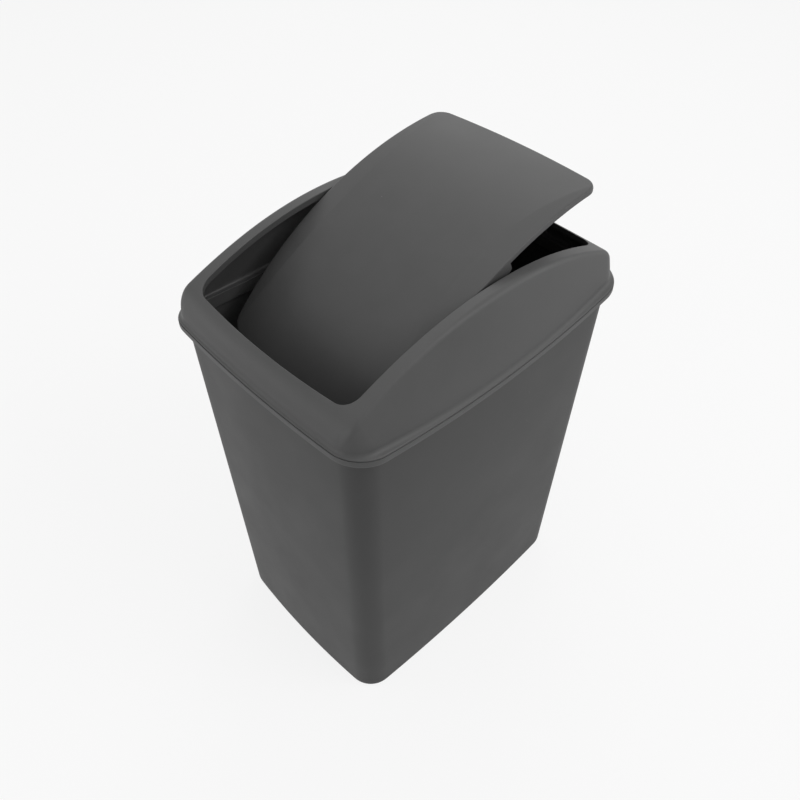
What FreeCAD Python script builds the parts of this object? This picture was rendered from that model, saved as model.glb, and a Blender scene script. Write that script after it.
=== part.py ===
import FreeCAD, Part
import math
import os

# Swing-top kitchen bin of three mouldings: a tapered bucket with a saddle-shaped rim, an arched lid
# frame that drops over the rim, and a flap that swings on two stub pins between the frame's cheeks.
# X runs along the length, the front faces -Y, Z is up, and the origin is the middle of the foot.

# Bucket
body_height = 392.0          # floor to the rim at the two ends
body_top_length = 326.0      # outside of the wall at the rim, middle of end to middle of end
body_top_width = 244.0
body_foot_length = 292.0     # outside of the wall at the floor
body_foot_width = 210.0
body_corner = 25.0           # upright corners in plan
long_side_bow = 4.5          # how far the middle of a long side stands out from its ends
short_side_bow = 6.0
body_wall = 2.0
floor_thickness = 2.4
foot_edge_radius = 4.0       # rounding where the wall turns into the floor
foot_ring_width = 16.0       # flat ring that the bin stands on
foot_recess = 2.5            # how far the middle of the floor is raised off the ground
rim_sag = 11.0               # how far the rim dips in the middle of the long sides
rim_flange = 3.2             # lip of the rim beyond the wall
rim_thickness = 2.2

# Lid frame
lid_wall = 2.0
band_clearance = 1.4         # between the rim's edge and the inside of the band
band_wall = 2.2
band_drop = 7.0              # how far the band hangs below the top of the rim
band_edge_radius = 1.9       # the band's lower edge is rounded like a bead
band_top_radius = 3.0        # the band rolls over into the wall above it
bead_height = 5.7            # a groove parts the lower stretch of the band from the rest
groove_height = 1.0
groove_depth = 1.0
plug_clearance = 1.8         # inner skirt that keeps the lid in the bucket's mouth
plug_wall = 1.8
plug_drop = 10.5
seat_clearance = 0.3         # between the rim's top and the ledge that sits on it
ledge_thickness = 2.0
wall_inset = 3.8             # step from the band in to the wall above it
crown_rise = 63.0            # top of the arch above the rim's ends
arch_radius = 335.0          # arch of the cheeks along the length
shoulder_radius = 30.0       # roll-over from the arch to the end walls
cheek_lean = 16.5            # how far a cheek leans in from its foot to its ridge
cheek_strip = 11.5           # flat strip between the opening and the ridge of a cheek
cheek_swell = 3.0            # how far a cheek stands out from a straight slope, half way up
cheek_top_bow = 19.0         # side walls lean in further towards the corners, as far as this at the top
cheek_top_corner = 8.0       # upright corners shrink to this at the top of the arch
ridge_radius = 5.0           # rounding along the ridges
end_overlap = 0.2            # the wall's ends run this far outside the roll-over, inside the band
end_bar = 15.0               # end of the frame between its end wall and the opening
opening_corner = 15.0
opening_end_bow = 5.0
opening_side_bow = 1.0
lip_depth = 6.8              # turned-down edge round the opening
lip_wall = 1.8
lug_half_length = 9.0        # deeper stretch of the lip that carries the bearing
lug_depth = 13.0
lug_corner = 3.0

# Pivots of the flap
pivot_depth = 6.0            # centre of the pins below the top of the arch
pivot_radius = 2.5
pivot_clearance = 0.05       # running clearance on the radius
bearing_radius = 5.0         # bosses on the hidden side of the lip
bearing_length = 3.4
pin_end_gap = 0.8            # pin stops short of the boss's outer end

# Flap
flap_end_gap = 2.0
flap_side_gap = 2.0
flap_wall = 2.0
flap_crown = 3.0             # middle of the flap above its long edges
bevel_width = 22.0           # sloping strip along each long edge, widest half way along
skirt_depth = 6.5            # turned-down edge of the flap
skirt_wall = 1.8
ear_half_length = 32.0       # deeper stretch of the skirt that carries the pin
ear_depth = 17.0
ear_corner = 4.0
pin_root_radius = 4.6
pin_root_length = 2.4
open_angle = 24.7            # degrees, tipped with its +X end up

# Cuts run past the faces that they cut by this much
overrun = 10.0

# Sizes that follow from those above
rim_half_length = body_top_length / 2 + rim_flange
saddle_radius = (rim_half_length ** 2 + rim_sag ** 2) / (2 * rim_sag)
saddle_centre = body_height - rim_sag + saddle_radius
band_growth = rim_flange + band_clearance + band_wall
lid_half_length = body_top_length / 2 + band_growth - wall_inset
lid_half_width = body_top_width / 2 + band_growth - wall_inset
crown_height = body_height + crown_rise
arch_centre = crown_height - arch_radius
lid_foot = body_height - rim_sag - plug_drop - overrun
opening_length = 2 * (lid_half_length - end_bar)
opening_width = 2 * (lid_half_width - cheek_lean - cheek_strip)
pivot_height = crown_height - pivot_depth
flap_half_length = opening_length / 2 - flap_end_gap
flap_half_width = opening_width / 2 - flap_side_gap

AXIS_Y = FreeCAD.Vector(0, 1, 0)


def arc(start, middle, end):
    return Part.Arc(start, middle, end).toShape()


def bowed_outline(half_length, half_width, corner, side_bow, end_bow, growth, z):
    """Closed outline at height z: four bowed sides and four tangent corner arcs, all grown outwards."""
    side_radius = (half_length ** 2 + side_bow ** 2) / (2 * side_bow)
    end_radius = (half_width ** 2 + end_bow ** 2) / (2 * end_bow)
    side_centre = FreeCAD.Vector(0, half_width - side_radius, z)
    end_centre = FreeCAD.Vector(half_length - end_radius, 0, z)
    # the corner's centre lies at a known distance from the centres of both sides
    to_side = side_radius - corner
    to_end = end_radius - corner
    between = end_centre.sub(side_centre)
    span = between.Length
    along = (to_side ** 2 - to_end ** 2 + span ** 2) / (2 * span)
    across = math.sqrt(to_side ** 2 - along ** 2)
    unit = FreeCAD.Vector(between).normalize()
    normal = FreeCAD.Vector(-unit.y, unit.x, 0)
    if normal.x < 0:
        normal = normal.negative()
    centre = side_centre + unit * along + normal * across
    on_side = side_centre + (centre - side_centre) * ((side_radius + growth) / to_side)
    on_end = end_centre + (centre - end_centre) * ((end_radius + growth) / to_end)
    bisector = (on_side - centre) + (on_end - centre)
    on_corner = centre + bisector.normalize() * (corner + growth)
    side_middle = FreeCAD.Vector(0, half_width + growth, z)
    end_middle = FreeCAD.Vector(half_length + growth, 0, z)

    def turned(point, x_sign, y_sign):
        return FreeCAD.Vector(point.x * x_sign, point.y * y_sign, point.z)

    edges = []
    for x_sign, y_sign in ((1, -1), (1, 1), (-1, 1), (-1, -1)):
        # each quarter: the corner between its two sides, then the side that follows it
        first, last = (on_side, on_end) if x_sign * y_sign < 0 else (on_end, on_side)
        middle = end_middle if x_sign * y_sign < 0 else side_middle
        edges.append(arc(turned(first, x_sign, y_sign), turned(on_corner, x_sign, y_sign),
                         turned(last, x_sign, y_sign)))
        far_x = x_sign if x_sign * y_sign < 0 else -x_sign
        far_y = -y_sign if x_sign * y_sign < 0 else y_sign
        edges.append(arc(turned(last, x_sign, y_sign), turned(middle, x_sign, y_sign),
                         turned(last, far_x, far_y)))
    return Part.Wire(edges)


def prism(wire, height):
    return Part.Face(wire).extrude(FreeCAD.Vector(0, 0, height))


def body_outline(z, growth):
    """Outline of the bucket's wall at height z, which tapers evenly from the rim to the floor."""
    height_share = z / body_height
    length = body_foot_length + (body_top_length - body_foot_length) * height_share
    width = body_foot_width + (body_top_width - body_foot_width) * height_share
    return bowed_outline(length / 2, width / 2, body_corner, long_side_bow, short_side_bow, growth, z)


def rim_outline(growth, z):
    return bowed_outline(body_top_length / 2, body_top_width / 2, body_corner, long_side_bow,
                         short_side_bow, growth, z)


def above_saddle(raised):
    """Everything above the rim's saddle: a round bar across the bin, raised off the rim's top."""
    start = FreeCAD.Vector(0, -body_top_width, saddle_centre)
    return Part.makeCylinder(saddle_radius - raised, 2 * body_top_width, start, AXIS_Y)


def edges_at_height(solid, z):
    tolerance = foot_recess / 100
    return [e for e in solid.Edges if max(abs(v.Z - z) for v in e.Vertexes) < tolerance]


def make_bin_body():
    outer = Part.makeLoft([body_outline(0, 0), body_outline(body_height, 0)], True, True)
    outer = outer.makeFillet(foot_edge_radius, edges_at_height(outer, 0))
    cavity = Part.makeLoft([body_outline(floor_thickness, -body_wall),
                            body_outline(body_height + overrun, -body_wall)], True, True)
    cavity = cavity.makeFillet(foot_edge_radius, edges_at_height(cavity, floor_thickness))
    flange = prism(rim_outline(rim_flange, body_height - rim_sag - overrun), rim_sag + 2 * overrun)
    flange = flange.common(above_saddle(-rim_thickness))
    platform = prism(body_outline(0, floor_thickness - foot_ring_width), foot_recess + floor_thickness)
    recess = prism(body_outline(0, -foot_ring_width), foot_recess)
    body = outer.fuse(flange).cut(cavity).cut(above_saddle(0))
    return body.fuse(platform).cut(recess).removeSplitter()


def arch_solid(growth, lowered):
    """Everything under the lid's arch and rolled-over ends, lofted across so that the ends bow in plan."""
    top = crown_height + growth - lowered
    sections = []
    for y_share in (-1, 0, 1):
        half_length = lid_half_length - short_side_bow * y_share ** 2
        shoulder_x = half_length - shoulder_radius
        shoulder_rise = math.sqrt((arch_radius - shoulder_radius) ** 2 - shoulder_x ** 2)
        shoulder_z = arch_centre + shoulder_rise - lowered
        slope = math.atan2(shoulder_x, shoulder_rise)
        join_x = shoulder_x + (shoulder_radius + growth) * math.sin(slope)
        join_z = shoulder_z + (shoulder_radius + growth) * math.cos(slope)
        half_turn = (slope + math.pi / 2) / 2
        bend_x = shoulder_x + (shoulder_radius + growth) * math.sin(half_turn)
        bend_z = shoulder_z + (shoulder_radius + growth) * math.cos(half_turn)
        end_x = half_length + growth
        wide_x = lid_half_length + overrun
        y = y_share * lid_half_width

        def at(x, z):
            return FreeCAD.Vector(x, y, z)

        sections.append(Part.Wire([
            arc(at(-end_x, shoulder_z), at(-bend_x, bend_z), at(-join_x, join_z)),
            arc(at(-join_x, join_z), at(0, top), at(join_x, join_z)),
            arc(at(join_x, join_z), at(bend_x, bend_z), at(end_x, shoulder_z)),
            Part.makeLine(at(end_x, shoulder_z), at(wide_x, shoulder_z)),
            Part.makeLine(at(wide_x, shoulder_z), at(wide_x, lid_foot)),
            Part.makeLine(at(wide_x, lid_foot), at(-wide_x, lid_foot)),
            Part.makeLine(at(-wide_x, lid_foot), at(-wide_x, shoulder_z)),
            Part.makeLine(at(-wide_x, shoulder_z), at(-end_x, shoulder_z))]))
    return Part.makeLoft(sections, True, False)


def cheek_solid(growth):
    """Everything inside the lid's side walls, which lean in and swell up to the ridges of the cheeks."""
    foot = body_height - rim_sag
    height = crown_height - foot
    foot_corner = body_corner + band_growth - wall_inset
    half_length = lid_half_length + end_overlap
    outlines = []
    for z in (foot - overrun, foot + height / 2, crown_height + overrun):
        height_share = (z - foot) / height
        swell = 4 * cheek_swell * height_share * (1 - height_share)
        half_width = lid_half_width - cheek_lean * height_share + swell
        corner = foot_corner + (cheek_top_corner - foot_corner) * height_share
        side_bow = long_side_bow + (cheek_top_bow - long_side_bow) * height_share
        outlines.append(bowed_outline(half_length, half_width, corner, side_bow, short_side_bow, growth, z))
    return Part.makeLoft(outlines, True, False)


def ridge_edges(solid):
    """Edges where the arch meets the side walls, from the top of each cheek down to the corners."""
    edges = []
    for edge in solid.Edges:
        middle = edge.valueAt((edge.FirstParameter + edge.LastParameter) / 2)
        if edge.BoundBox.ZMax > body_height + crown_rise / 4 and abs(middle.y) > opening_width / 2:
            if edge.BoundBox.ZMin > body_height - rim_sag:
                edges.append(edge)
    return edges


def opening_outline(end_growth, side_growth, growth, z):
    return bowed_outline(opening_length / 2 + end_growth, opening_width / 2 + side_growth, opening_corner,
                         opening_side_bow, opening_end_bow, growth, z)


def lowest_face(solid, sign):
    """The face whose middle is lowest, or highest where the sign is negative."""
    return min(solid.Faces, key=lambda f: sign * f.CenterOfMass.z)


def make_rim_channel(tall):
    """The lid's rounded band, the ledge that sits on the rim and the skirt inside the bucket's mouth."""
    ledge_top = above_saddle(seat_clearance + ledge_thickness)
    ring = prism(rim_outline(band_growth, lid_foot), tall).common(above_saddle(-band_drop)).cut(ledge_top)
    ring = ring.makeFillet(band_edge_radius, lowest_face(ring, 1).OuterWire.Edges)
    ring = ring.makeFillet(band_top_radius, lowest_face(ring, -1).OuterWire.Edges)
    groove = prism(rim_outline(band_growth + overrun, lid_foot), tall)
    groove = groove.cut(prism(rim_outline(band_growth - groove_depth, lid_foot), tall))
    groove = groove.common(above_saddle(bead_height - band_drop))
    ring = ring.cut(groove.cut(above_saddle(bead_height + groove_height - band_drop)))
    channel = prism(rim_outline(band_growth - band_wall, lid_foot), tall).cut(above_saddle(seat_clearance))
    plug_growth = -body_wall - plug_clearance
    plug = prism(rim_outline(plug_growth, lid_foot), tall).common(above_saddle(-plug_drop)).cut(ledge_top)
    mouth = prism(rim_outline(plug_growth - plug_wall, lid_foot), tall)
    return ring.cut(channel).fuse(plug).cut(mouth)


def bar_across(half_length, half_width, depth, corner):
    """A bar across the bin that hangs this deep from the top of the arch, its two lower edges rounded."""
    bar = Part.makeBox(2 * half_length, 2 * half_width, depth + flap_crown,
                       FreeCAD.Vector(-half_length, -half_width, crown_height - depth))
    low = [e for e in lowest_face(bar, 1).Edges if e.BoundBox.XLength < e.BoundBox.YLength]
    return bar.makeFillet(corner, low)


def make_lid_frame():
    outside = arch_solid(0, 0).common(cheek_solid(0))
    outside = outside.makeFillet(ridge_radius, ridge_edges(outside))
    inside = arch_solid(-lid_wall, 0).common(cheek_solid(-lid_wall))
    skin = outside.cut(inside).common(above_saddle(seat_clearance))
    tall = crown_height - lid_foot + overrun
    lip = prism(opening_outline(0, 0, lip_wall, lid_foot), tall).common(arch_solid(0, 0))
    lugs = lip.common(bar_across(lug_half_length, lid_half_width, lug_depth, lug_corner))
    lip = lip.cut(arch_solid(0, lip_depth))
    frame = skin.fuse(make_rim_channel(tall)).fuse(lip).fuse(lugs)
    for side in (-1, 1):
        start = FreeCAD.Vector(0, side * opening_width / 2, pivot_height)
        frame = frame.fuse(Part.makeCylinder(bearing_radius, lip_wall + bearing_length, start, AXIS_Y * side))
    frame = frame.cut(prism(opening_outline(0, 0, 0, lid_foot), tall))
    for side in (-1, 1):
        start = FreeCAD.Vector(0, 0, pivot_height)
        reach = opening_width / 2 + lip_wall + bearing_length
        frame = frame.cut(Part.makeCylinder(pivot_radius + pivot_clearance, reach, start, AXIS_Y * side))
    return frame.removeSplitter()


def arch_slab(radius, top, y, sweep):
    """Everything under a plain arch of this radius and top height, swept from y along the given vector."""
    reach = flap_half_length + overrun
    drop = radius - math.sqrt(radius ** 2 - reach ** 2)

    def at(x, z):
        return FreeCAD.Vector(x, y, z)

    profile = Part.Wire([
        arc(at(-reach, top - drop), at(0, top), at(reach, top - drop)),
        Part.makeLine(at(reach, top - drop), at(reach, lid_foot)),
        Part.makeLine(at(reach, lid_foot), at(-reach, lid_foot)),
        Part.makeLine(at(-reach, lid_foot), at(-reach, top - drop))])
    return Part.Face(profile).extrude(sweep)


def flap_top(lowered):
    """Everything under the flap's crowned face and the two sloping strips along its long edges."""
    edge_drop = arch_radius - math.sqrt(arch_radius ** 2 - flap_half_length ** 2)
    crown_drop = edge_drop + flap_crown
    crown_radius = (flap_half_length ** 2 + crown_drop ** 2) / (2 * crown_drop)
    top = crown_height - lowered
    crowned = arch_slab(crown_radius, top + flap_crown, -flap_half_width,
                        FreeCAD.Vector(0, 2 * flap_half_width, 0))
    rise = flap_half_width * flap_crown / bevel_width
    front = arch_slab(arch_radius, top, -flap_half_width, FreeCAD.Vector(0, flap_half_width, rise))
    back = arch_slab(arch_radius, top, flap_half_width, FreeCAD.Vector(0, -flap_half_width, rise))
    return crowned.common(front.fuse(back))


def flap_outline(growth, z):
    return opening_outline(-flap_end_gap, -flap_side_gap, growth, z)


def make_swing_flap():
    tall = crown_height - lid_foot + overrun
    plan = prism(flap_outline(0, lid_foot), tall)
    middle = prism(flap_outline(-skirt_wall, lid_foot), tall)
    face = flap_top(0)
    panel = face.cut(flap_top(flap_wall)).common(plan)
    rim = plan.cut(middle).common(face)
    sweep = FreeCAD.Vector(0, 2 * flap_half_width, 0)
    skirt = rim.cut(arch_slab(arch_radius, crown_height - skirt_depth, -flap_half_width, sweep))
    ears = rim.common(bar_across(ear_half_length, flap_half_width, ear_depth, ear_corner))
    flap = panel.fuse(skirt).fuse(ears)
    pin_length = skirt_wall + flap_side_gap + lip_wall + bearing_length - pin_end_gap
    for side in (-1, 1):
        root = FreeCAD.Vector(0, side * (flap_half_width - skirt_wall), pivot_height)
        flap = flap.fuse(Part.makeCylinder(pivot_radius, pin_length, root, AXIS_Y * side))
        flap = flap.fuse(Part.makeCylinder(pin_root_radius, pin_root_length, root, AXIS_Y * -side))
    flap = flap.removeSplitter()
    flap.rotate(FreeCAD.Vector(0, 0, pivot_height), AXIS_Y, -open_angle)
    return flap


os.makedirs("parts", exist_ok=True)
for name, make in (("bin_body", make_bin_body), ("lid_frame", make_lid_frame), ("swing_flap", make_swing_flap)):
    shape = make()
    print(name, len(shape.Solids), "solid", round(shape.Volume / 1000, 1), "cm3", shape.isValid())
    shape.exportStep("parts/" + name + ".step")
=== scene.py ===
import math

import bpy
import numpy as np
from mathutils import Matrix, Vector


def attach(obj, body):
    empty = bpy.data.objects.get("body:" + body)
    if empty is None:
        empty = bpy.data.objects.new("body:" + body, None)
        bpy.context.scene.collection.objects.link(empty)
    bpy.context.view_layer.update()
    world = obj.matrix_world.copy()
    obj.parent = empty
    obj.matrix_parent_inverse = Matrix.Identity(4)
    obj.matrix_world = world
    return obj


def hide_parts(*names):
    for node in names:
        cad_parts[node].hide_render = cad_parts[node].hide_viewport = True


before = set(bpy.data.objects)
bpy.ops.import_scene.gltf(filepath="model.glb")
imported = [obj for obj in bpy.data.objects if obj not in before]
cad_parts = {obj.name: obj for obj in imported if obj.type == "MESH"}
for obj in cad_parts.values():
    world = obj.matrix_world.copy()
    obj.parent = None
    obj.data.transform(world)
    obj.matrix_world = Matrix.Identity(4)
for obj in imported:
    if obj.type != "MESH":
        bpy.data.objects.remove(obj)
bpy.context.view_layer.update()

# Bucket. One injection moulding of dark grey polypropylene, tapered so that it leaves its mould and nests.
# The rim dips along the long sides and has a thin flange; the bucket stands on a ring round a raised floor.
# Sizes are in millimetres, X along the length, the front towards -Y, and the ground at zero.
MILLIMETRE = 0.001              # in metres, which Blender takes
BODY_HEIGHT = 392.0
BODY_TOP = (163.0, 122.0)       # half-length and half-width of the wall at the rim
BODY_FOOT = (146.0, 105.0)      # and at the ground
BODY_CORNER = 25.0
LONG_SIDE_BOW = 4.5
SHORT_SIDE_BOW = 6.0
BODY_PLAN = (BODY_CORNER, LONG_SIDE_BOW, SHORT_SIDE_BOW)
BODY_WALL = 2.0
RIM_SAG = 11.0
RIM_FLANGE = 3.2
RIM_THICKNESS = 2.2
FLOOR_THICKNESS = 2.4
FOOT_RECESS = 2.5
FOOT_RING = 16.0
FOOT_ROUNDING = 4.0
EDGE_ROUNDING = 0.8
INNER_ROUNDING = 0.5            # in the corner between two walls
PLAIN_WALL = 12.0               # straight wall that the profiles of rim and foot end with
PLAIN_FLOOR = 7.0               # and flat floor inside the foot's ring
SADDLE_RADIUS = ((BODY_TOP[0] + RIM_FLANGE) ** 2 + RIM_SAG ** 2) / (2 * RIM_SAG)


def quarter_walk(end_steps, corner_steps, side_steps):
    """Places on a quarter of an outline: 0 to 1 is half an end, 1 to 2 the corner, 2 to 3 half a long side."""
    half_end = np.linspace(0, 1, end_steps, endpoint=False)
    corner = np.linspace(1, 2, corner_steps, endpoint=False)
    half_side = np.linspace(2, 3, side_steps + 1)
    return np.concatenate([half_end, corner, half_side])


def bowed_outline(walk, half_length, half_width, corner, side_bow, end_bow, growth):
    """x and y on a rectangle of four bowed sides and four corner arcs that are tangent to each other.

    Each stretch is its centre plus its radius, grown outwards, times (cos, sin) of an angle that turns from
    zero at the middle of the end to a right angle at the middle of the long side.
    """
    side_radius = (half_length ** 2 + side_bow ** 2) / (2 * side_bow)
    end_radius = (half_width ** 2 + end_bow ** 2) / (2 * end_bow)
    end_back = end_radius - half_length
    side_back = side_radius - half_width
    to_side = side_radius - corner
    to_end = end_radius - corner
    span = np.hypot(end_back, side_back)
    along = (to_side ** 2 - to_end ** 2 + span ** 2) / (2 * span)
    across = np.sqrt(to_side ** 2 - along ** 2)
    centre_x = (side_back * across - end_back * along) / span
    centre_y = (side_back * along + end_back * across) / span - side_back
    end_turn = np.arctan2(centre_y, centre_x + end_back)
    side_turn = np.arctan2(centre_y + side_back, centre_x)
    on_end = walk < 1
    on_side = walk >= 2
    turn = np.where(on_end, walk * end_turn, end_turn + (walk - 1) * (side_turn - end_turn))
    turn = np.where(on_side, side_turn + (walk - 2) * (math.pi / 2 - side_turn), turn)
    radius = np.where(on_end, end_radius, np.where(on_side, side_radius, corner)) + growth
    x = np.where(on_end, -end_back, np.where(on_side, 0, centre_x)) + radius * np.cos(turn)
    y = np.where(on_end, 0, np.where(on_side, -side_back, centre_y)) + radius * np.sin(turn)
    return x, y


def saddle(x):
    """Height of the rim at x: a large arc that is lowest in the middle of the long sides."""
    return BODY_HEIGHT - RIM_SAG + SADDLE_RADIUS - np.sqrt(SADDLE_RADIUS ** 2 - x ** 2)


def parabola(t, start, corner, end):
    """Curve that leaves one point towards a corner and comes from there to another, at shares t of its way."""
    return (1 - t) ** 2 * start + 2 * t * (1 - t) * corner + t ** 2 * end


def rounded(corners):
    """Profile through corners (across, up, cut): each is a parabola between the points a cut before and after it.

    A point a little beyond each end of a curve keeps the flat next to it flat when it is shaded.
    """
    share_of_flat, share_of_cut = 0.3, 0.4
    at = np.array([c[:2] for c in corners], float)
    cut = np.array([0, *(c[2] for c in corners[1:-1]), 0])
    step = np.diff(at, axis=0)
    length = np.linalg.norm(step, axis=1)
    ahead = step / length[:, None]
    spare = share_of_flat * (length - cut[:-1] - cut[1:])
    t = np.linspace(0, 1, 6)[:, None]
    points = [at[:1]]
    for i in range(1, len(at) - 1):
        back = at[i] - ahead[i - 1] * cut[i]
        forth = at[i] + ahead[i] * cut[i]
        before = back - ahead[i - 1] * min(spare[i - 1], share_of_cut * cut[i])
        after = forth + ahead[i] * min(spare[i], share_of_cut * cut[i])
        points += [before[None], parabola(t, back, at[i], forth), after[None]]
    return np.concatenate([*points, at[-1:]])


def all_round(x, y, z):
    """Mirrors a quarter, rows by places, into whole rings that run anticlockwise seen from above."""
    quarter = np.stack(np.broadcast_arrays(x, y, z), -1)
    back = quarter[:, ::-1]
    parts = [quarter, back * (-1, 1, 1), quarter * (-1, -1, 1), back * (1, -1, 1)]
    return np.concatenate([p[:, :-1] for p in parts], 1)


def ring_faces(rows, places, first=0, closed=False):
    """Quads between each row and the next, round the ring; a closed sheet joins its last row to its first."""
    r = np.arange(rows if closed else rows - 1)[:, None]
    p = np.arange(places)[None]
    upper = (r + 1) % rows
    beside = (p + 1) % places
    quads = np.stack([r * places + p, r * places + beside, upper * places + beside, upper * places + p], -1)
    return first + quads.reshape(-1, 4)


def fan_faces(start, places, centre, flipped):
    """Triangles from a ring to one point in its middle."""
    p = np.arange(places)
    ends = (start + p, start + (p + 1) % places)
    a, b = ends[::-1] if flipped else ends
    return np.stack([a, b, np.full(places, centre)], -1)


def add_piece(name, points, faces):
    """Puts points in millimetres and lists of faces into a smooth mesh, in metres, at the origin.

    Points that fall on each other, at poles and where sheets meet, are joined.
    """
    mesh = bpy.data.meshes.new(name)
    mesh.from_pydata((points * MILLIMETRE).tolist(), [], [f for group in faces for f in group.tolist()])
    mesh.polygons.foreach_set("use_smooth", np.ones(len(mesh.polygons), bool))
    piece = bpy.data.objects.new(name, mesh)
    bpy.context.collection.objects.link(piece)
    joined = piece.modifiers.new("joined sheets", "WELD")
    joined.merge_threshold = 0.01 * MILLIMETRE
    return piece


def between(low, high, count):
    """Rows that run straight from one profile row to another, ends left out."""
    t = np.linspace(0, 1, count + 2)[1:-1, None]
    return (1 - t) * low + t * high


def with_share(profile, share):
    """Adds to (growth, height) rows the share of the rim's height that their own height is measured from."""
    return np.column_stack([profile, np.full(len(profile), share)])


bucket_walk = quarter_walk(end_steps=14, corner_steps=14, side_steps=26)
raised_floor = FOOT_RECESS + FLOOR_THICKNESS
inside_ring = FLOOR_THICKNESS - FOOT_RING
foot_rows = with_share(rounded([
    (-FOOT_RING - PLAIN_FLOOR, FOOT_RECESS), (-FOOT_RING, FOOT_RECESS, INNER_ROUNDING),
    (-FOOT_RING, 0, EDGE_ROUNDING), (0, 0, FOOT_ROUNDING), (0, PLAIN_WALL)]), 0)
rim_rows = with_share(rounded([
    (0, -PLAIN_WALL), (0, -RIM_THICKNESS, INNER_ROUNDING), (RIM_FLANGE, -RIM_THICKNESS, EDGE_ROUNDING),
    (RIM_FLANGE, 0, EDGE_ROUNDING), (-BODY_WALL, 0, EDGE_ROUNDING), (-BODY_WALL, -PLAIN_WALL)]), 1)
floor_rows = with_share(rounded([
    (-BODY_WALL, PLAIN_WALL + FOOT_ROUNDING), (-BODY_WALL, FLOOR_THICKNESS, FOOT_ROUNDING),
    (inside_ring, FLOOR_THICKNESS, EDGE_ROUNDING), (inside_ring, raised_floor, EDGE_ROUNDING),
    (-FOOT_RING - PLAIN_FLOOR, raised_floor)]), 0)
profile = np.concatenate([foot_rows, between(foot_rows[-1], rim_rows[0], count=22), rim_rows,
                          between(rim_rows[-1], floor_rows[0], count=22), floor_rows])
growth, offset, rim_share = profile.T[:, :, None]
rim_x, _ = bowed_outline(bucket_walk, *BODY_TOP, *BODY_PLAN, 0)
height = rim_share * saddle(rim_x) + offset
taper = height / BODY_HEIGHT
half_length, half_width = (foot + (top - foot) * taper for foot, top in zip(BODY_FOOT, BODY_TOP))
wall_x, wall_y = bowed_outline(bucket_walk, half_length, half_width, *BODY_PLAN, growth)
rings = all_round(wall_x, wall_y, height)
rows, places = rings.shape[:2]
middles = [(0, 0, FOOT_RECESS), (0, 0, raised_floor)]
bucket = add_piece("bucket", np.concatenate([rings.reshape(-1, 3), middles]), [
    ring_faces(rows, places), fan_faces(0, places, rows * places, True),
    fan_faces((rows - 1) * places, places, rows * places + 1, False)])


def linear(colour):
    """Linear colour from an sRGB hex value."""
    srgb = np.array([int(colour[i:i + 2], 16) for i in (1, 3, 5)]) / 255
    values = np.where(srgb <= 0.04045, srgb / 12.92, ((srgb + 0.055) / 1.055) ** 2.4)
    return (*values.tolist(), 1.0)


def add_node(owner, kind, settings=None, **inputs):
    """Adds a node to a material or world, sets its properties, and fills its inputs with values or outputs.

    An input goes by its name, or by i and its number where names repeat.
    """
    tree = owner.node_tree
    node = tree.nodes.new(kind)
    for key, value in (settings or {}).items():
        setattr(node, key, value)
    for key, value in inputs.items():
        socket = node.inputs[int(key[1:]) if key[1:].isdigit() else key]
        if isinstance(value, bpy.types.NodeSocket):
            tree.links.new(value, socket)
        else:
            socket.default_value = value
    return node


def moulded_polypropylene(name, colour, shine):
    """Dark polypropylene as it leaves a spark-eroded mould: an even fine grain that breaks up the gloss.

    The real grain is about 0.1 mm, too fine to show, so it is drawn at 0.9 mm. Handling leaves the tone and the
    gloss uneven over a few centimetres, and a few pale specks of dust cling to the plastic. Shine is the part of
    the gloss that the grain leaves, where 0.5 is all of it.
    """
    grain_size, cloud_size, speck_spacing = 0.9 * MILLIMETRE, 45 * MILLIMETRE, 28 * MILLIMETRE
    speck_core, speck_edge = 0.4 * MILLIMETRE / speck_spacing, 0.6 * MILLIMETRE / speck_spacing
    dust_cover = 0.35
    cloud_low, cloud_high = 0.3, 0.7
    material = bpy.data.materials.new(name)
    material.use_nodes = True
    shader = material.node_tree.nodes["Principled BSDF"]
    place = add_node(material, "ShaderNodeTexCoord").outputs["Object"]
    grain = add_node(material, "ShaderNodeTexNoise", Vector=place, Scale=1 / grain_size,
                     Detail=2.0, Roughness=0.6)
    cloud = add_node(material, "ShaderNodeTexNoise", Vector=place, Scale=1 / cloud_size,
                     Detail=3.0, Roughness=0.55)
    unevenness = cloud.outputs["Fac"]
    specks = add_node(material, "ShaderNodeTexVoronoi", Vector=place, Scale=1 / speck_spacing, Randomness=1.0)
    dust = add_node(material, "ShaderNodeMapRange", Value=specks.outputs["Distance"],
                    i1=speck_core, i2=speck_edge, i3=dust_cover, i4=0.0)
    tone = add_node(material, "ShaderNodeMapRange", Value=unevenness,
                    i1=cloud_low, i2=cloud_high, i3=0.94, i4=1.06)
    shade = add_node(material, "ShaderNodeVectorMath", {"operation": "SCALE"}, i0=linear(colour)[:3],
                     Scale=tone.outputs["Result"])
    dusty = add_node(material, "ShaderNodeMix", {"data_type": "RGBA"}, i0=dust.outputs["Result"],
                     i6=shade.outputs["Vector"], i7=linear("#8a8a88"))
    roughness = add_node(material, "ShaderNodeMapRange", Value=unevenness,
                         i1=cloud_low, i2=cloud_high, i3=0.46, i4=0.54)
    bump = add_node(material, "ShaderNodeBump", Strength=0.12, Distance=0.3 * MILLIMETRE,
                    Height=grain.outputs["Fac"])
    links = material.node_tree.links
    links.new(dusty.outputs[2], shader.inputs["Base Color"])
    links.new(roughness.outputs["Result"], shader.inputs["Roughness"])
    links.new(bump.outputs["Normal"], shader.inputs["Normal"])
    shader.inputs["IOR"].default_value = 1.49
    shader.inputs["Specular IOR Level"].default_value = shine
    return material


# the bucket's mould has the coarser grain, so the bucket is the more matt
bucket.data.materials.append(moulded_polypropylene("moulded polypropylene bucket", "#444444", shine=0.15))
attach(bucket, "bin")
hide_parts("bin_body")

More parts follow.
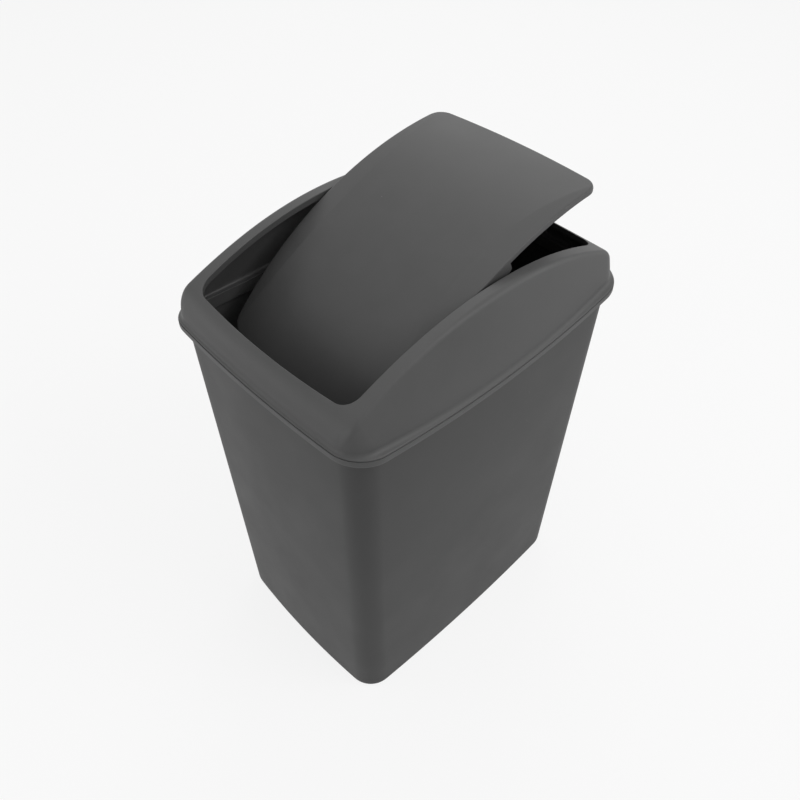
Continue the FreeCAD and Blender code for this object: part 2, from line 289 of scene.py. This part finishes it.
# Lid frame. One moulding of the same polypropylene that drops over the bucket's rim and lifts straight off.
# Two cheeks arch along the long sides and roll over into low end bars; the mouth between them has a turned-down
# lip, and underneath a bead hangs outside the rim and a skirt hangs inside it.
LID_HALF_LENGTH = 166.0
LID_HALF_WIDTH = 125.0
LID_WALL = 2.0
CROWN_HEIGHT = 455.0
ARCH_RADIUS = 335.0
ARCH_CENTRE = CROWN_HEIGHT - ARCH_RADIUS
SHOULDER_RADIUS = 30.0
CHEEK_FOOT = BODY_HEIGHT - RIM_SAG
CHEEK_LEAN = 16.5
CHEEK_SWELL = 3.0
CHEEK_CORNERS = (28.0, 8.0)     # at the cheek's foot and at the crown, as the bows are
CHEEK_BOWS = (LONG_SIDE_BOW, 19.0)
END_OVERLAP = 0.2
RIDGE_CUT = 4.2
OPENING = (151.0, 97.0, 15.0, 1.0, 5.0)     # half-length, half-width, corner, bow of the sides and of the ends
LIP_DEPTH = 6.8
LIP_WALL = 1.8
LIP_ROUNDING = 0.9
FLAT_FROM = 1.4                 # a row this many roundings from an edge keeps the flat beside it flat
LUG_HALF_LENGTH = 9.0
LUG_DEPTH = 13.0
LUG_CORNER = 3.0
HAIR = 0.02                     # places this far before and after a sudden end keep it crisp
PIVOT_HEIGHT = CROWN_HEIGHT - 6.0
BEARING_HOLE = 2.55
BEARING_RADIUS = 5.0
BEARING_LENGTH = 3.4
BEARING_ROUNDING = 0.4
SEAT = 0.3
LEDGE = 2.3
LEDGE_WIDTH = 3.0
BEAD_OUT = 6.8
BEAD_WALL = 2.2
BEAD_DROP = 7.0
BEAD_ROUNDING = 1.3
BEAD_TOP = -1.3
BEAD_TOP_ROUNDING = 0.8
GROOVE_OUT = 5.7
GROOVE_HEIGHT = 0.8
GROOVE_ROUNDING = 0.15
FLARE_OUT = 6.1
FLARE_EDGE = (0.4, 0.8)         # first stretch of the flare: inwards and up
FLARE_RISE = 7.0
FLARE_BEND = 0.6                # share of the flare's rise at which it bends
PLUG_OUT = -3.8
PLUG_WALL = 1.8
PLUG_DROP = 10.5


def shoulder_centre(y):
    """x and z of the middle of the small arc that rolls the lid's ends over; they bow with the square of y."""
    x = LID_HALF_LENGTH - SHORT_SIDE_BOW * (y / LID_HALF_WIDTH) ** 2 - SHOULDER_RADIUS
    return x, ARCH_CENTRE + np.sqrt((ARCH_RADIUS - SHOULDER_RADIUS) ** 2 - x ** 2)


def arch_height(x, y, growth):
    """Height of the lid's arch over (x, y): a large arc along the length, rolled over by a small one at the ends.

    Growth makes both arcs larger.
    """
    shoulder_x, shoulder_z = shoulder_centre(y)
    reach = SHOULDER_RADIUS + growth
    join_x = shoulder_x + reach * shoulder_x / (ARCH_RADIUS - SHOULDER_RADIUS)
    roll = shoulder_z + np.sqrt(reach ** 2 - np.clip(x - shoulder_x, 0, reach) ** 2)
    arch = ARCH_CENTRE + np.sqrt((ARCH_RADIUS + growth) ** 2 - np.minimum(x, join_x) ** 2)
    return np.where(x < join_x, arch, roll)


def end_reach(y, height, growth):
    """How far out the small arc at the ends of the lid is at a height."""
    shoulder_x, shoulder_z = shoulder_centre(y)
    reach = SHOULDER_RADIUS + growth
    return shoulder_x + np.sqrt(reach ** 2 - np.clip(height - shoulder_z, 0, reach) ** 2)


def cheek_outline(walk, height, growth):
    """Outline of the lid's side walls at a height: they lean in, swell half way up, and their corners tighten."""
    share = (height - CHEEK_FOOT) / (CROWN_HEIGHT - CHEEK_FOOT)
    half_width = LID_HALF_WIDTH - CHEEK_LEAN * share + 4 * CHEEK_SWELL * share * (1 - share)
    corner, side_bow = (foot + (top - foot) * share for foot, top in (CHEEK_CORNERS, CHEEK_BOWS))
    half_length = LID_HALF_LENGTH + END_OVERLAP
    return bowed_outline(walk, half_length, half_width, corner, side_bow, SHORT_SIDE_BOW, growth)


def skin_rows(walk, growth, foot, mouth_growth, ridge_cut, wall_count, top_count):
    """A side of the lid's wall from its foot over the ridge to the mouth, as (x, y, z) of rows by places.

    The wall climbs the leaning outline to the height where it meets the arch, found by halving; from there the
    rows run straight in plan to the mouth at the arch's height; a parabola rounds the ridge between the two.
    """
    low = foot + 0 * walk
    high = CROWN_HEIGHT + growth + 0 * walk
    for _ in range(40):
        middle = (low + high) / 2
        x, y = cheek_outline(walk, middle, growth)
        under = arch_height(x, y, growth) > middle
        low, high = np.where(under, middle, low), np.where(under, high, middle)
    least_wall = 0.01           # where the wall would be lower than this there is none
    most = 0.8                  # share of a low wall that the rounding of the ridge may take
    no_wall = low <= foot + least_wall
    ridge_z = np.maximum(low, foot)
    ridge_x, ridge_y = cheek_outline(walk, ridge_z, growth)
    ridge_x = np.where(no_wall, np.minimum(ridge_x, end_reach(ridge_y, ridge_z, growth)), ridge_x)
    mouth_x, mouth_y = bowed_outline(walk, *OPENING, mouth_growth)
    wall_cut = np.minimum(ridge_cut / np.maximum(ridge_z - foot, least_wall), most)
    top_cut = np.minimum(ridge_cut, most * (ridge_z - foot)) / np.hypot(mouth_x - ridge_x, mouth_y - ridge_y)
    wall_z = foot + (ridge_z - foot) * np.linspace(0, 1, wall_count)[:, None] * (1 - wall_cut)
    wall_x, wall_y = cheek_outline(walk, wall_z, growth)
    wall_x = np.where(no_wall, ridge_x, wall_x)
    t = top_cut + (1 - top_cut) * (1 - np.cos(np.linspace(0, math.pi / 2, top_count)))[:, None]
    top_x = ridge_x + (mouth_x - ridge_x) * t
    top_y = ridge_y + (mouth_y - ridge_y) * t
    wall = np.stack([wall_x, wall_y, wall_z])
    top = np.stack([top_x, top_y, arch_height(top_x, top_y, growth)])
    ridge = np.stack([ridge_x, ridge_y, ridge_z])[:, None]
    curve = parabola(np.linspace(0, 1, 9)[1:-1, None], wall[:, -1:], ridge, top[:, :1])
    return np.concatenate([wall, curve, top], 1)


def rim_rows_at(walk, rows):
    """Rows (growth, height above the rim) carried round the rim's outline and along its saddle."""
    growth, offset = rows.T[:, :, None]
    x, y = bowed_outline(walk, *BODY_TOP, *BODY_PLAN, growth)
    return np.stack([x, y, saddle(x) + offset])


def hanging_edge(x, half_length, depth, corner):
    """Height of the lower edge of a bar that hangs this far below the crown, with its two corners rounded."""
    into_corner = np.clip(np.abs(x) - half_length + corner, 0, corner)
    return CROWN_HEIGHT - depth + corner - np.sqrt(corner ** 2 - into_corner ** 2)


QUARTER_TURN = np.sin(np.linspace(math.pi / 2, 0, 6))


def crowded_walk(walk, half_length, corner, inner_x, side_x):
    """A quarter's places, closer together round the end of a bar that hangs in the middle of the long side."""
    edge_x = half_length - HAIR - corner * (1 - QUARTER_TURN)
    crowd = 3 - np.concatenate([[half_length + corner, half_length + HAIR], edge_x, inner_x]) / side_x
    return np.concatenate([walk[walk < crowd[0]], crowd])


def lip_foot_height(x, y):
    """Height of the lip's lower edge: under the arch, deeper at the bearings, with a round notch for the pin."""
    on_side = y > OPENING[1] - OPENING[2]
    lug = hanging_edge(x, LUG_HALF_LENGTH, LUG_DEPTH, LUG_CORNER)
    notch = PIVOT_HEIGHT + np.sqrt(np.clip(BEARING_HOLE ** 2 - x ** 2, 0, None))
    edge = np.where(on_side & (x <= LUG_HALF_LENGTH), lug, arch_height(x, y, 0) - LIP_DEPTH)
    return np.where(on_side & (x < BEARING_HOLE), notch, edge)


def on_arch(growth):
    """The row where the opening's outline, grown outwards, runs over the lid's arch."""
    x, y = bowed_outline(lid_walk, *OPENING, growth)
    return np.stack([x, y, arch_height(x, y, 0)])[:, None]


beside_hole = (LUG_HALF_LENGTH - LUG_CORNER + BEARING_HOLE) / 2
hole_x = np.concatenate([[beside_hole, BEARING_HOLE + HAIR], (BEARING_HOLE - HAIR) * QUARTER_TURN])
opening_side = bowed_outline(np.array([2.0]), *OPENING, 0)[0]
lid_walk = crowded_walk(quarter_walk(end_steps=16, corner_steps=22, side_steps=44),
                        LUG_HALF_LENGTH, LUG_CORNER, hole_x, opening_side)
rim_x, _ = bowed_outline(lid_walk, *BODY_TOP, *BODY_PLAN, 0)
flare_foot = BEAD_TOP + GROOVE_HEIGHT
outer_skin = skin_rows(lid_walk, 0, saddle(rim_x) + flare_foot + FLARE_RISE, FLAT_FROM * LIP_ROUNDING, RIDGE_CUT,
                       wall_count=22, top_count=30)
inner_skin = skin_rows(lid_walk, -LID_WALL, saddle(rim_x) + LEDGE, LIP_WALL, RIDGE_CUT - LID_WALL,
                       wall_count=14, top_count=16)
down = np.array([0, 0, -1.0])[:, None, None]
fall = LIP_ROUNDING * down
t = np.linspace(0, 1, 7)[:, None]
lip_edge = on_arch(0)
lip_foot, hidden_foot = lip_edge.copy(), on_arch(LIP_WALL)
lip_foot[2] = hidden_foot[2] = lip_foot_height(lip_edge[0], lip_edge[1])
middle_foot = (lip_foot + hidden_foot) / 2
lip = [parabola(t, on_arch(LIP_ROUNDING), lip_edge, lip_edge + fall), lip_edge + FLAT_FROM * fall,
       lip_foot - FLAT_FROM * fall, parabola(t, lip_foot - fall, lip_foot, middle_foot),
       parabola(t[1:], middle_foot, hidden_foot, hidden_foot - fall), hidden_foot - FLAT_FROM * fall]
channel = rim_rows_at(lid_walk, rounded([
    (PLUG_OUT - PLUG_WALL + LEDGE_WIDTH, LEDGE), (PLUG_OUT - PLUG_WALL, LEDGE, INNER_ROUNDING),
    (PLUG_OUT - PLUG_WALL, -PLUG_DROP, EDGE_ROUNDING), (PLUG_OUT, -PLUG_DROP, EDGE_ROUNDING),
    (PLUG_OUT, SEAT, INNER_ROUNDING), (BEAD_OUT - BEAD_WALL, SEAT, INNER_ROUNDING),
    (BEAD_OUT - BEAD_WALL, -BEAD_DROP, EDGE_ROUNDING), (BEAD_OUT, -BEAD_DROP, BEAD_ROUNDING),
    (BEAD_OUT, BEAD_TOP, BEAD_TOP_ROUNDING), (GROOVE_OUT, BEAD_TOP, GROOVE_ROUNDING),
    (GROOVE_OUT, flare_foot, GROOVE_ROUNDING), (FLARE_OUT, flare_foot, GROOVE_ROUNDING),
    (FLARE_OUT - FLARE_EDGE[0], flare_foot + FLARE_EDGE[1])]))
wall_foot = outer_skin[:, :1]
t = np.linspace(0, 1, 12)[1:-1, None]
flare = parabola(t, channel[:, -1:], wall_foot + FLARE_BEND * FLARE_RISE * down, wall_foot)
rings = all_round(*np.concatenate([outer_skin, *lip, inner_skin[:, ::-1], channel, flare], 1))


def turned(profile, side, places=32):
    """Round shape about the pivot's line: (radius, distance from the middle) rows turned in a circle."""
    angle = np.linspace(0, 2 * math.pi, places, endpoint=False)
    radius, along = np.array(profile, float).T[:, :, None]
    across, up = radius * np.cos(angle) * side, PIVOT_HEIGHT + radius * np.sin(angle)
    return np.stack(np.broadcast_arrays(across, along * side, up), -1)


points, faces = [rings.reshape(-1, 3)], [ring_faces(*rings.shape[:2], closed=True)]
first = len(points[0])
boss_foot = OPENING[1] + LIP_WALL / 2
boss_end = OPENING[1] + LIP_WALL + BEARING_LENGTH
for side in (-1, 1):
    boss = turned([(BEARING_HOLE, boss_foot), (BEARING_HOLE, boss_end - BEARING_ROUNDING),
                   (BEARING_HOLE + BEARING_ROUNDING, boss_end), (BEARING_RADIUS - BEARING_ROUNDING, boss_end),
                   (BEARING_RADIUS, boss_end - BEARING_ROUNDING), (BEARING_RADIUS, boss_foot)], side)
    points.append(boss.reshape(-1, 3))
    faces.append(ring_faces(*boss.shape[:2], first, closed=True))
    first += len(points[-1])
lid = add_piece("lid_frame_moulding", np.concatenate(points), faces)
lid.data.materials.append(moulded_polypropylene("moulded polypropylene lid", "#4e4e4e", shine=0.3))
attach(lid, "lid")
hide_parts("lid_frame")

# Flap. One thin curved moulding with a crowned face, a sloping strip along each long edge and a stepped skirt.
# Two ears of the skirt carry stub pins that snap into the frame, and the flap hangs between the cheeks on them.
# It is tipped here with its right-hand end up.
FLAP = (149.0, 95.0, 15.0, 1.0, 5.0)        # as the opening, 2 mm smaller all round
FLAP_WALL = 2.0
FLAP_CROWN = 3.0
FACE_ROUNDING = 1.7
BEVEL_WIDTH = 22.0
CREASE_SOFTNESS = 0.03
SKIRT_DEPTH = 6.5
SKIRT_WALL = 1.8
SKIRT_ROUNDING = 0.5
STEP_DEPTH = 3.6
STEP_WIDTH = 0.7
STEP_ROUNDING = 0.3
EAR_HALF_LENGTH = 32.0
EAR_DEPTH = 17.0
EAR_CORNER = 4.0
PIN_RADIUS = 2.5
PIN_END_GAP = 0.8
PIN_ROUNDING = 0.6
PIN_ROOT_RADIUS = 4.6
PIN_ROOT_LENGTH = 2.4
OPEN_ANGLE = math.radians(24.7)


def plain_arch(x, radius, top):
    """Height of a plain arc of this radius along the length."""
    return top - radius + np.sqrt(radius ** 2 - x ** 2)


def edge_line(x):
    """Height of the flap along its long edges, which follow the lid's arch."""
    return plain_arch(x, ARCH_RADIUS, CROWN_HEIGHT)


def crown_line(x):
    """Height of the flap along its middle: an arc through the edge line's ends that stands above it between."""
    edge_drop = ARCH_RADIUS - math.sqrt(ARCH_RADIUS ** 2 - FLAP[0] ** 2)
    crown_drop = edge_drop + FLAP_CROWN
    crown_radius = (FLAP[0] ** 2 + crown_drop ** 2) / (2 * crown_drop)
    return plain_arch(x, crown_radius, CROWN_HEIGHT + FLAP_CROWN)


def flap_face(x, y):
    """Height of the flap's face: the lower of a crowned arc and a strip that climbs from each long edge.

    The two meet in a soft crease: a smooth minimum of the two heights.
    """
    crowned = crown_line(x)
    strip = edge_line(x) + (FLAP[1] - np.abs(y)) * FLAP_CROWN / BEVEL_WIDTH
    return (crowned + strip - np.sqrt((crowned - strip) ** 2 + CREASE_SOFTNESS ** 2)) / 2


def skirt_foot(x, y):
    """Height of the skirt's lower edge: it follows the arch, and drops to the ears half way along the sides."""
    on_ear = (np.abs(x) <= EAR_HALF_LENGTH) & (np.abs(y) > FLAP[1] - FLAP[2])
    return np.where(on_ear, hanging_edge(x, EAR_HALF_LENGTH, EAR_DEPTH, EAR_CORNER), edge_line(x) - SKIRT_DEPTH)


END_STEPS, CORNER_STEPS = 14, 16
corner_middle = END_STEPS + CORNER_STEPS // 2
ear_x = np.linspace(EAR_HALF_LENGTH - EAR_CORNER, 0, 10)[1:]
flap_side = bowed_outline(np.array([2.0]), *FLAP, 0)[0]
flap_walk = crowded_walk(quarter_walk(END_STEPS, CORNER_STEPS, side_steps=32),
                         EAR_HALF_LENGTH, EAR_CORNER, ear_x, flap_side)


def flap_ring(growth):
    """The flap's whole outline, grown outwards, at no height."""
    x, y = bowed_outline(flap_walk, *FLAP, growth)
    return all_round(x[None], y[None], 0 * x[None])[0]


def filled(ring):
    """Grid inside a ring: a Coons patch between its ends and long sides, which meet in the corners' middles."""
    count = len(ring) // 4
    corners = [corner_middle, 2 * count - corner_middle, 2 * count + corner_middle, 4 * count - corner_middle]
    shifted = np.roll(ring, -corners[3], 0)
    a, b, c = [(k - corners[3]) % (4 * count) for k in corners[:3]]
    right, top = shifted[:a + 1], shifted[a:b + 1][::-1]
    left, bottom = shifted[b:c + 1][::-1], np.concatenate([shifted[c:], shifted[:1]])
    u = np.linspace(0, 1, len(bottom))[None, :, None]
    v = np.linspace(0, 1, len(left))[:, None, None]
    flat = (1 - v) * bottom[None] + v * top[None] + (1 - u) * left[:, None] + u * right[:, None]
    low = (1 - u) * bottom[0] + u * bottom[-1]
    high = (1 - u) * top[0] + u * top[-1]
    return flat - (1 - v) * low - v * high


def creased(grid):
    """Moves a grid's rows so that four of them run along each crease, and leaves its border as it is.

    The crease is where the strip reaches the crowned arc, and comes to the edge at the ends. The rows' distances
    from the nearer long edge are drawn again, even on both sides of the crease, and faded in from the corners.
    """
    from_crease = np.array([-0.9, -0.25, 0.25, 0.9])[:, None]
    strip_shares = np.array([0.0, 0.4, 0.8])[:, None]
    least_strip = 2.5
    fade_share = 1 / 12         # of the half-length
    x, y = grid[..., 0], grid[..., 1]
    edge_y = np.abs(y[:1])
    strip_width = (crown_line(x[:1]) - edge_line(x[:1])) * BEVEL_WIDTH / FLAP_CROWN
    crease = np.clip(strip_width - (FLAP[1] - edge_y), least_strip, None)
    rows = len(y)
    half = rows // 2
    row = np.minimum(np.arange(rows), rows - 1 - np.arange(rows))[:, None]
    along_crease = crease + from_crease
    on_strip = along_crease[:1] * strip_shares
    on_crown = along_crease[-1:] + np.linspace(0, 1, half - 5)[1:, None] * (edge_y - along_crease[-1:])
    wanted = np.concatenate([on_strip, along_crease, on_crown])
    wanted = np.take_along_axis(wanted, np.broadcast_to(row, y.shape), 0)
    fade = np.clip((1 - np.abs(x) / (FLAP[0] - FLAP[2])) / fade_share, 0, 1) * (row > 0)
    fade[:, [0, -1]] = 0
    here = edge_y - np.abs(y)
    side = np.sign(np.arange(rows) - half)[:, None]
    return np.stack([x, side * (edge_y - here - (wanted - here) * fade), grid[..., 2]], -1)


def grid_faces(rows, columns, flipped):
    """Quads of an open grid."""
    r, c = np.arange(rows - 1)[:, None], np.arange(columns - 1)[None]
    quads = np.stack([r * columns + c, r * columns + c + 1, (r + 1) * columns + c + 1, (r + 1) * columns + c], -1)
    quads = quads.reshape(-1, 4)
    return quads[:, ::-1] if flipped else quads


def placed(points, heights):
    """The points at these heights."""
    return np.concatenate([points[..., :2], heights[..., None]], -1)


def on_face(points, below=0):
    """The points on the flap's face, or this far below it."""
    return placed(points, flap_face(points[..., 0], points[..., 1]) - below)


face_ring = flap_ring(-FLAT_FROM * FACE_ROUNDING)
under_ring = flap_ring(-SKIRT_WALL - SKIRT_ROUNDING)
face_grid = on_face(creased(filled(face_ring)))
under_grid = on_face(creased(filled(under_ring)), FLAP_WALL)
outer, stepped, inner = flap_ring(0), flap_ring(-STEP_WIDTH), flap_ring(-SKIRT_WALL)
edge_row = on_face(outer)
step_z = edge_line(outer[:, 0]) - STEP_DEPTH
foot_z = skirt_foot(outer[:, 0], outer[:, 1])
middle_foot = placed((stepped + inner) / 2, foot_z)
t = np.linspace(0, 1, 7)[:, None, None]
few = np.linspace(0, 1, 4)[:, None, None]
skirt = np.concatenate([
    on_face(face_ring)[None],
    parabola(t, on_face(flap_ring(-FACE_ROUNDING)), edge_row, on_face(outer, FACE_ROUNDING)),
    on_face(outer, FLAT_FROM * FACE_ROUNDING)[None],
    placed(outer, step_z + FLAT_FROM * STEP_ROUNDING)[None],
    parabola(few, placed(outer, step_z + STEP_ROUNDING), placed(outer, step_z),
             placed(flap_ring(-STEP_ROUNDING), step_z)),
    placed(stepped, step_z)[None],
    placed(stepped, step_z - STEP_ROUNDING / 2)[None],
    placed(stepped, foot_z + FLAT_FROM * SKIRT_ROUNDING)[None],
    parabola(few, placed(stepped, foot_z + SKIRT_ROUNDING), placed(stepped, foot_z), middle_foot),
    parabola(few[1:], middle_foot, placed(inner, foot_z), placed(inner, foot_z + SKIRT_ROUNDING)),
    placed(inner, foot_z + FLAT_FROM * SKIRT_ROUNDING)[None],
    on_face(inner, FLAP_WALL + SKIRT_ROUNDING)[None],
    on_face(under_ring, FLAP_WALL)[None]])
sheets = [(face_grid, grid_faces(*face_grid.shape[:2], flipped=False)),
          (under_grid, grid_faces(*under_grid.shape[:2], flipped=True)),
          (skirt[::-1], ring_faces(*skirt.shape[:2]))]
inside = FLAP[1] - SKIRT_WALL
in_wall = inside + SKIRT_WALL / 4
pin_end = boss_end - PIN_END_GAP
for side in (-1, 1):
    pin = turned([(0, inside - PIN_ROOT_LENGTH), (PIN_ROOT_RADIUS - PIN_ROUNDING, inside - PIN_ROOT_LENGTH),
                  (PIN_ROOT_RADIUS, inside - PIN_ROOT_LENGTH + PIN_ROUNDING), (PIN_ROOT_RADIUS, in_wall),
                  (PIN_RADIUS, in_wall), (PIN_RADIUS, pin_end - PIN_ROUNDING),
                  (PIN_RADIUS - PIN_ROUNDING, pin_end), (0, pin_end)], side)
    sheets.append((pin, ring_faces(*pin.shape[:2])[:, ::-1]))
firsts = np.cumsum([0] + [sheet.shape[0] * sheet.shape[1] for sheet, _ in sheets])
x, y, z = np.concatenate([sheet.reshape(-1, 3) for sheet, _ in sheets]).T
z = z - PIVOT_HEIGHT
tipped = np.column_stack([x * math.cos(OPEN_ANGLE) - z * math.sin(OPEN_ANGLE), y,
                          x * math.sin(OPEN_ANGLE) + z * math.cos(OPEN_ANGLE) + PIVOT_HEIGHT])
flap = add_piece("flap_moulding", tipped, [quads + first for (_, quads), first in zip(sheets, firsts)])
flap.data.materials.append(moulded_polypropylene("moulded polypropylene flap", "#4c4c4c", shine=0.3))
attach(flap, "flap")
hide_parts("swing_flap")

# Studio. A white floor, soft lamps overhead, high in front, front right and behind, and low ones at the left.
# They leave the flap's sunk end dark and its raised end light; the camera looks down from the front left, as
# the lid is seen. Lengths are in metres.
FLOOR_HALF = 8.0
FLOOR_GLOW = 0.85               # share of plain white in the floor where it is seen directly
SKY_LEVEL = 0.25
WHITE = (1, 1, 1, 1)
LAMP_AIM = (0, 0, 0.35)
PHOTO_PIXELS = 800
FOCAL_PIXELS = 883
floor_mesh = bpy.data.meshes.new("floor")
floor_mesh.from_pydata([(-FLOOR_HALF, -FLOOR_HALF, 0), (FLOOR_HALF, -FLOOR_HALF, 0),
                        (FLOOR_HALF, FLOOR_HALF, 0), (-FLOOR_HALF, FLOOR_HALF, 0)], [], [(0, 1, 2, 3)])
floor = bpy.data.objects.new("floor", floor_mesh)
bpy.context.collection.objects.link(floor)


def seen_directly(owner):
    """1 for rays that show the background: from the camera, in a gloss or through glass; 0 for the rest."""
    rays = add_node(owner, "ShaderNodeLightPath").outputs
    shown = rays["Is Camera Ray"]
    for name in ("Is Glossy Ray", "Is Transmission Ray"):
        shown = add_node(owner, "ShaderNodeMath", {"operation": "MAXIMUM"}, i0=shown, i1=rays[name]).outputs[0]
    return shown


floor_paint = bpy.data.materials.new("matt white paint")
floor_paint.use_nodes = True
tree = floor_paint.node_tree
paint = tree.nodes["Principled BSDF"]
paint.inputs["Base Color"].default_value = linear("#e6e6e6")
paint.inputs["Roughness"].default_value = 0.9
white = add_node(floor_paint, "ShaderNodeEmission", Color=WHITE, Strength=1.0)
share = add_node(floor_paint, "ShaderNodeMath", {"operation": "MULTIPLY"}, i0=seen_directly(floor_paint),
                 i1=FLOOR_GLOW)
mixed = add_node(floor_paint, "ShaderNodeMixShader", i0=share.outputs[0], i1=paint.outputs[0],
                 i2=white.outputs[0])
tree.links.new(mixed.outputs[0], tree.nodes["Material Output"].inputs["Surface"])
floor_mesh.materials.append(floor_paint)

world = bpy.data.worlds.new("studio")
bpy.context.scene.world = world
world.use_nodes = True
sky = world.node_tree.nodes["Background"]
sky.inputs["Color"].default_value = WHITE
level = add_node(world, "ShaderNodeMapRange", Value=seen_directly(world), i1=0.0, i2=1.0, i3=SKY_LEVEL, i4=1.0)
world.node_tree.links.new(level.outputs["Result"], sky.inputs["Strength"])


def add_lamp(name, place, size, power):
    """Square soft lamp that shines from a place towards the bin."""
    lamp = bpy.data.lights.new(name, "AREA")
    lamp.size = size
    lamp.energy = power
    holder = bpy.data.objects.new(name, lamp)
    bpy.context.collection.objects.link(holder)
    holder.location = place
    holder.rotation_euler = (Vector(LAMP_AIM) - Vector(place)).to_track_quat("-Z", "Y").to_euler()


add_lamp("over", (0.1, 0.2, 2.3), 1.6, 11)
add_lamp("behind", (0, 2.2, 1.4), 1.4, 2)
add_lamp("behind right", (1.5, 1.2, 1.7), 1.4, 8.5)
add_lamp("high in front", (0.6, -1.6, 2.0), 1.2, 18)
add_lamp("front right", (1.6, -1.6, 1.0), 1.2, 11)
add_lamp("low at the left", (-2.3, 0.1, 0.5), 0.9, 9)
add_lamp("low behind left", (-1.7, 1.5, 0.7), 1.0, 6)

camera = bpy.data.cameras.new("camera")
camera.sensor_width = 36.0
camera.lens = camera.sensor_width * FOCAL_PIXELS / PHOTO_PIXELS
camera.shift_y = -0.12
viewer = bpy.data.objects.new("camera", camera)
bpy.context.collection.objects.link(viewer)
viewer.location = (-0.422, -0.438, 0.889)
azimuth, pitch = math.radians(-43.8), math.radians(40.0)
viewer.rotation_euler = (math.pi / 2 - pitch, 0, azimuth)
bpy.context.scene.camera = viewer

bpy.context.scene.view_settings.view_transform = "Standard"
